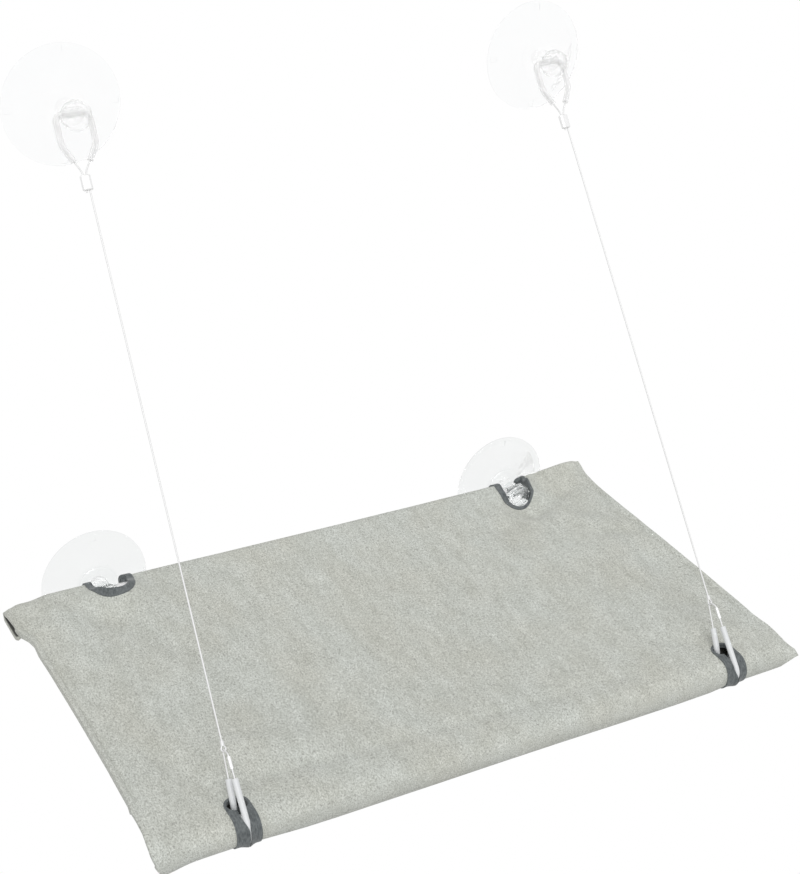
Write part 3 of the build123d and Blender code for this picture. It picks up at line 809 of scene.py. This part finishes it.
def boolean(piece, cutters, operation):
    """Cuts the piece with the cutters, or keeps what lies in them, and takes them away."""
    for cutter in cutters:
        modifier = piece.modifiers.new("cut", "BOOLEAN")
        modifier.operation = operation
        modifier.solver = "EXACT"
        modifier.object = cutter
    bpy.context.view_layer.update()
    baked = bpy.data.meshes.new_from_object(piece.evaluated_get(bpy.context.evaluated_depsgraph_get()))
    piece.modifiers.clear()
    piece.data = baked
    for cutter in cutters:
        bpy.data.objects.remove(cutter)


def notch_outline(side, growth, shift=0):
    """Long hole round a back notch: round at its top end and at its under end."""
    x, radius, centre, _, _ = NOTCHES[side]
    first, last = run_at(centre, True), run_at(centre)
    points = arc_points((x + shift, last), radius + growth, 0, pi, NOTCH_POINTS)
    return points + arc_points((x + shift, first), radius + growth, pi, 2 * pi, NOTCH_POINTS)


def slot_outline(x, growth):
    """Hole, narrow way round the fold, hole: a front slot opened flat."""
    wide, deep, gap = HOLE_HALF_WIDTH + growth, HOLE_HALF_DEPTH + growth, SLOT_HALF_GAP + growth
    straight = wide - deep
    first, last = run_at(HOLE_AT), run_at(HOLE_AT, True)
    points = arc_points((x + straight, first), deep, pi / 2, -pi / 2, SLOT_POINTS)
    points += arc_points((x - straight, first), deep, -pi / 2, -3 * pi / 2, SLOT_POINTS)
    points += [(x - gap, first + deep), (x - gap, last - deep)]
    points += arc_points((x - straight, last), deep, -pi / 2, -3 * pi / 2, SLOT_POINTS)
    points += arc_points((x + straight, last), deep, pi / 2, -pi / 2, SLOT_POINTS)
    points += [(x + gap, last - deep), (x + gap, first + deep)]
    clean = []
    for point in points:
        if not clean or hypot(point[0] - clean[-1][0], point[1] - clean[-1][1]) > POINTS_APART:
            clean.append(point)
    return clean


def band_outline(x, growth=0):
    """Outer edge of the tape round a front slot, opened flat."""
    first, last = run_at(BAND_START) - growth, run_at(BAND_START, True) + growth
    half, corner = BAND_HALF_WIDTH + growth, BAND_CORNER
    points = []
    for centre, start in (
        ((x + half - corner, last - corner), 0),
        ((x - half + corner, last - corner), pi / 2),
        ((x - half + corner, first + corner), pi),
        ((x + half - corner, first + corner), 3 * pi / 2),
    ):
        points += arc_points(centre, corner, start, start + pi / 2, CORNER_POINTS)
    return points


def arm_slits():
    """The slits for the rod's arms, opened flat, at both ends of the shelf."""
    back, front = [[(x, run_at(out, True)) for x, out in slit] for slit in (BACK_SLIT, FRONT_SLIT)]
    back = [(ARM_INNER, BEFORE_CLOTH), *back, (ARM_OUTER, BEFORE_CLOTH)]
    return [[(side * x, y) for x, y in points] for side in (-1, 1) for points in (back, front)]


def join(target, others):
    """Adds the others' meshes to the target and takes the others away."""
    bm = bmesh.new()
    for piece in (target, *others):
        bm.from_mesh(piece.data)
    bm.to_mesh(target.data)
    bm.free()
    for piece in others:
        bpy.data.objects.remove(piece)


def make_cover():
    """The felt cover with its holes and side hems, wrapped round the rod and the front tube."""
    lines = [side * (HALF_WIDTH - inset) for side in (-1, 1) for inset in HEM_LINES]
    piece = slab("felt_sheet", HALF_WIDTH, 0, LENGTH, 0, FELT, FELT_CELL, lines)
    cutters = [prism(notch_outline(side, TAPE)) for side in NOTCHES]
    cutters += [prism(slot_outline(x, TAPE)) for x in SLOT_X.values()]
    cutters += [prism(outline) for outline in arm_slits()]
    boolean(piece, cutters, "DIFFERENCE")
    hems = []
    for side in (-1, 1):
        hem = slab("hem", HEM_HALF_WIDTH, run_at(HEM_START), run_at(HEM_END), -FELT, -HEM_GAP, FELT_CELL, (0,))
        move_along(hem, side * (HALF_WIDTH - HEM_HALF_WIDTH))
        hems.append(hem)
    join(piece, hems)
    bend(piece.data)
    return piece


def felt_block(outer, inner):
    """Cutter the size of the felt inside a tape: its outline, less the grown slot or notch."""
    block = prism(outer, FELT_SPACE_BOTTOM, FELT)
    boolean(block, [prism(inner, HOLE_BOTTOM, HOLE_TOP)], "DIFFERENCE")
    return block


def make_binding(name, outer, inner, felt, start, end, half, x):
    """Tape over the felt and round its cut edge, made flat and wrapped like the felt."""
    piece = slab(name, half, start, end, -TAPE_LAP, FELT + TAPE, TAPE_CELL)
    move_along(piece, x)
    boolean(piece, [prism(outer)], "INTERSECT")
    boolean(piece, [prism(inner), felt], "DIFFERENCE")
    bend(piece.data)
    return piece


def clean_faces(piece):
    """Triangles instead of the many-sided faces that the cuts leave, and no doubles."""
    bm = bmesh.new()
    bm.from_mesh(piece.data)
    bmesh.ops.triangulate(bm, faces=[f for f in bm.faces if len(f.verts) > 4])
    bmesh.ops.remove_doubles(bm, verts=bm.verts, dist=MERGE_WITHIN)
    finish_mesh(bm, piece.data)


cover = make_cover()
clean_faces(cover)
dress(cover.data, "felt")
bindings = []
for label, (x, radius, centre, tape, shift) in NOTCHES.items():
    first, last = run_at(centre, True), run_at(centre)
    reach = radius + tape
    felt = felt_block(notch_outline(label, tape + NOTCH_FELT_SPARE), notch_outline(label, TAPE))
    piece = make_binding(
        f"back_tape_{label}", notch_outline(label, tape, shift), notch_outline(label, 0), felt,
        max(0.0, first - reach), last + reach + STRIP_SPARE, reach + NOTCH_STRIP_SPARE, x,
    )
    bindings.append((piece, f"back_binding_{label}"))
for label, x in SLOT_X.items():
    first, last = run_at(BAND_START), run_at(BAND_START, True)
    felt = felt_block(band_outline(x, SLOT_FELT_SPARE), slot_outline(x, TAPE))
    piece = make_binding(
        f"front_tape_{label}", band_outline(x), slot_outline(x, 0), felt,
        first - STRIP_SPARE, min(LENGTH, last + STRIP_SPARE), BAND_HALF_WIDTH + STRIP_SPARE, x,
    )
    bindings.append((piece, f"front_binding_{label}"))
for piece, node in bindings:
    clean_faces(piece)
    dress(piece.data, "binding_tape")
    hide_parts(node)
    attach(piece, "shelf")
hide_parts("felt_cover")
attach(cover, "shelf")

# ---- tether wires, between the window and the shelf: cut across along their length ---
for label in SIDES:
    source = nodes[f"tether_wire_{label}"]
    ferrule_low, ferrule_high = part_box(f"ferrule_{label}")
    loop_low, loop_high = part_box(f"bar_loop_{label}")
    start = Vector([(a + b) / 2 for a, b in zip(ferrule_low, ferrule_high)])
    end = Vector(((loop_low[0] + loop_high[0]) / 2, loop_high[1], loop_high[2]))
    bm = bmesh.new()
    bm.from_mesh(source.data)
    bmesh.ops.transform(bm, matrix=source.matrix_world, verts=bm.verts)
    bmesh.ops.remove_doubles(bm, verts=bm.verts, dist=MERGE_WITHIN)
    for i in range(1, WIRE_PARTS):
        cut_across(bm, start.lerp(end, i / WIRE_PARTS), end - start)
    mesh = bpy.data.meshes.new(f"wire_{label}")
    finish_mesh(bm, mesh)
    piece = link(f"wire_{label}", mesh)
    dress(mesh, "wire")
    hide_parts(f"tether_wire_{label}")
    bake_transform(piece)

# ---- camera, light, background ----------------------------------------------
camera = bpy.data.cameras.new("camera")
camera.sensor_width = SENSOR_WIDTH
camera.sensor_fit = "AUTO"
camera.lens = FOCAL_PIXELS * SENSOR_WIDTH / IMAGE_HEIGHT
camera.clip_start = NEAREST
forward = Vector((-sin(AZIMUTH) * cos(ELEVATION), cos(AZIMUTH) * cos(ELEVATION), -sin(ELEVATION)))
level = Vector((cos(AZIMUTH), sin(AZIMUTH), 0))
upright = level.cross(forward)
right = level * cos(ROLL) + upright * sin(ROLL)
top = upright * cos(ROLL) - level * sin(ROLL)
scene.camera = link("camera", camera)
turn = Matrix((right, top, -forward)).transposed().to_4x4()
scene.camera.matrix_world = Matrix.Translation(Vector(CAMERA_AT) * MM) @ turn

lamp = bpy.data.lights.new("sun", "SUN")
lamp.energy = LAMP_STRENGTH
lamp.angle = LAMP_WIDTH
link("sun", lamp).matrix_world = Vector(LAMP_FROM).to_track_quat("Z", "Y").to_matrix().to_4x4()

world = bpy.data.worlds.new("world")
scene.world = world
world.use_nodes = True
tree = world.node_tree
tree.nodes.clear()
rays = add(tree, "ShaderNodeLightPath").outputs
seen = rays["Is Camera Ray"]
for kind in ("Is Glossy Ray", "Is Transmission Ray"):
    either = add(tree, "ShaderNodeMath", operation="MAXIMUM")
    feed(tree, either.inputs[0], seen)
    feed(tree, either.inputs[1], rays[kind])
    seen = either.outputs[0]
soft = add(tree, "ShaderNodeBackground", Color=WHITE, Strength=SOFT_STRENGTH)
white = add(tree, "ShaderNodeBackground", Color=WHITE, Strength=SEEN_STRENGTH)
blend = add(tree, "ShaderNodeMixShader", Fac=seen)
feed(tree, blend.inputs[1], soft.outputs[0])
feed(tree, blend.inputs[2], white.outputs[0])
add(tree, "ShaderNodeOutputWorld", Surface=blend.outputs[0])

scene.view_settings.view_transform = "Standard"
